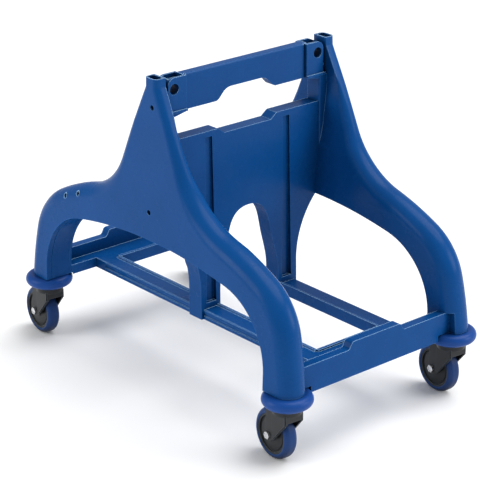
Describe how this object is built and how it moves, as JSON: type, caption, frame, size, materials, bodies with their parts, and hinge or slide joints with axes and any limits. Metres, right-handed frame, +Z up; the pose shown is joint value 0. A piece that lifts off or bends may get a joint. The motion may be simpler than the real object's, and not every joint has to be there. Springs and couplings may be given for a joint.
{
  "type": "mop bucket trolley chassis",
  "caption": "Blue moulded chassis for a mop bucket trolley: arched side frames, a centre panel, bucket trays, a grip crossbar and swivel castors.",
  "frame": {"origin": "middle of the overall length and width, on the floor under the wheels", "axes": "+X along the length toward the front tray, +Y toward the left side frame, +Z up"},
  "size_m": [0.6952, 0.416, 0.5185],
  "materials": {
    "frame_blue": "satin moulded polypropylene",
    "ring_blue": "satin",
    "black_plastic": "fine grain",
    "tyre_blue": "satin",
    "steel": "zinc plated"
  },
  "bodies": {
    "frame": {"side_frame_right": "frame_blue", "side_frame_left": "frame_blue", "centre_panel": "frame_blue", "bucket_tray_front": "frame_blue", "bucket_tray_rear": "frame_blue", "top_crossbar": "frame_blue", "panel_screws": "steel", "crossbar_screws": "steel", "tray_screws": "steel", "panel_foot_bolts": "steel", "bumper_ring_front_right": "ring_blue", "stem_socket_front_right": "black_plastic", "castor_stem_front_right": "steel", "upper_race_front_right": "steel", "bumper_ring_front_left": "ring_blue", "stem_socket_front_left": "black_plastic", "castor_stem_front_left": "steel", "upper_race_front_left": "steel", "bumper_ring_rear_right": "ring_blue", "stem_socket_rear_right": "black_plastic", "castor_stem_rear_right": "steel", "upper_race_rear_right": "steel", "bumper_ring_rear_left": "ring_blue", "stem_socket_rear_left": "black_plastic", "castor_stem_rear_left": "steel", "upper_race_rear_left": "steel"},
    "swivel_front_right": {"castor_fork_front_right": "black_plastic", "axle_bolt_front_right": "steel", "axle_nut_front_right": "steel", "swivel_balls_front_right": "steel"},
    "wheel_front_right": {"axle_sleeve_front_right": "steel", "wheel_core_front_right": "black_plastic", "wheel_tyre_front_right": "tyre_blue"},
    "swivel_front_left": {"castor_fork_front_left": "black_plastic", "axle_bolt_front_left": "steel", "axle_nut_front_left": "steel", "swivel_balls_front_left": "steel"},
    "wheel_front_left": {"axle_sleeve_front_left": "steel", "wheel_core_front_left": "black_plastic", "wheel_tyre_front_left": "tyre_blue"},
    "swivel_rear_right": {"castor_fork_rear_right": "black_plastic", "axle_bolt_rear_right": "steel", "axle_nut_rear_right": "steel", "swivel_balls_rear_right": "steel"},
    "wheel_rear_right": {"axle_sleeve_rear_right": "steel", "wheel_core_rear_right": "black_plastic", "wheel_tyre_rear_right": "tyre_blue"},
    "swivel_rear_left": {"castor_fork_rear_left": "black_plastic", "axle_bolt_rear_left": "steel", "axle_nut_rear_left": "steel", "swivel_balls_rear_left": "steel"},
    "wheel_rear_left": {"axle_sleeve_rear_left": "steel", "wheel_core_rear_left": "black_plastic", "wheel_tyre_rear_left": "tyre_blue"}
  },
  "joints": [
    {"name": "swivel_front_right", "type": "hinge", "parent": "frame", "child": "swivel_front_right", "pos_m": [0.309, -0.1695, 0.088], "axis": [0, 0, 1], "continuous": true},
    {"name": "wheel_spin_front_right", "type": "hinge", "parent": "swivel_front_right", "child": "wheel_front_right", "pos_m": [0.28249, -0.16737, 0.04], "axis": [0.0802, 0.9968, 0], "continuous": true},
    {"name": "swivel_front_left", "type": "hinge", "parent": "frame", "child": "swivel_front_left", "pos_m": [0.309, 0.1695, 0.088], "axis": [0, 0, 1], "continuous": true},
    {"name": "wheel_spin_front_left", "type": "hinge", "parent": "swivel_front_left", "child": "wheel_front_left", "pos_m": [0.28249, 0.17163, 0.04], "axis": [0.0802, 0.9968, 0], "continuous": true},
    {"name": "swivel_rear_right", "type": "hinge", "parent": "frame", "child": "swivel_rear_right", "pos_m": [-0.281, -0.1695, 0.088], "axis": [0, 0, 1], "continuous": true},
    {"name": "wheel_spin_rear_right", "type": "hinge", "parent": "swivel_rear_right", "child": "wheel_rear_right", "pos_m": [-0.30751, -0.16737, 0.04], "axis": [0.0802, 0.9968, 0], "continuous": true},
    {"name": "swivel_rear_left", "type": "hinge", "parent": "frame", "child": "swivel_rear_left", "pos_m": [-0.281, 0.1695, 0.088], "axis": [0, 0, 1], "continuous": true},
    {"name": "wheel_spin_rear_left", "type": "hinge", "parent": "swivel_rear_left", "child": "wheel_rear_left", "pos_m": [-0.30751, 0.17163, 0.04], "axis": [0.0802, 0.9968, 0], "continuous": true}
  ]
}
